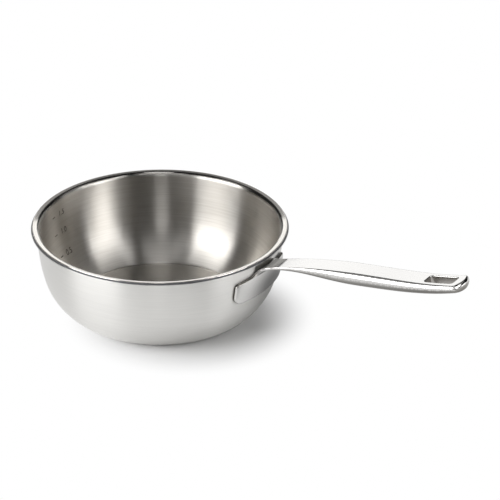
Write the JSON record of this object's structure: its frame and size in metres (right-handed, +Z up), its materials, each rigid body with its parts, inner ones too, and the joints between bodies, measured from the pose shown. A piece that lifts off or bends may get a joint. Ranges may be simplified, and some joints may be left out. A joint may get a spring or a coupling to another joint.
{
  "type": "saute pan",
  "caption": "Round-bottomed stainless steel saute pan of clad sheet with a flared pouring lip and a long cast handle whose foot plate is welded to the wall and whose end has a hanging slot.",
  "frame": {"origin": "centre of the flat base's underside, on the table", "axes": "+Z up along the bowl's axis, +X along the handle towards its end"},
  "size_m": [0.3848, 0.208, 0.096],
  "materials": {
    "satin_outside": "satin, brushed round the bowl",
    "aluminium_layer": "mill",
    "satin_inside": "satin, brushed round the bowl, polished lip",
    "polished_casting": "polished",
    "weld_steel": "as welded"
  },
  "bodies": {
    "root": {"outer_steel_ply": "satin_outside", "aluminium_core": "aluminium_layer", "inner_steel_ply": "satin_inside", "cast_handle": "polished_casting", "weld_spot_1": "weld_steel", "weld_spot_2": "weld_steel", "weld_spot_3": "weld_steel", "weld_spot_4": "weld_steel", "weld_spot_5": "weld_steel", "weld_spot_6": "weld_steel"}
  },
  "joints": []
}
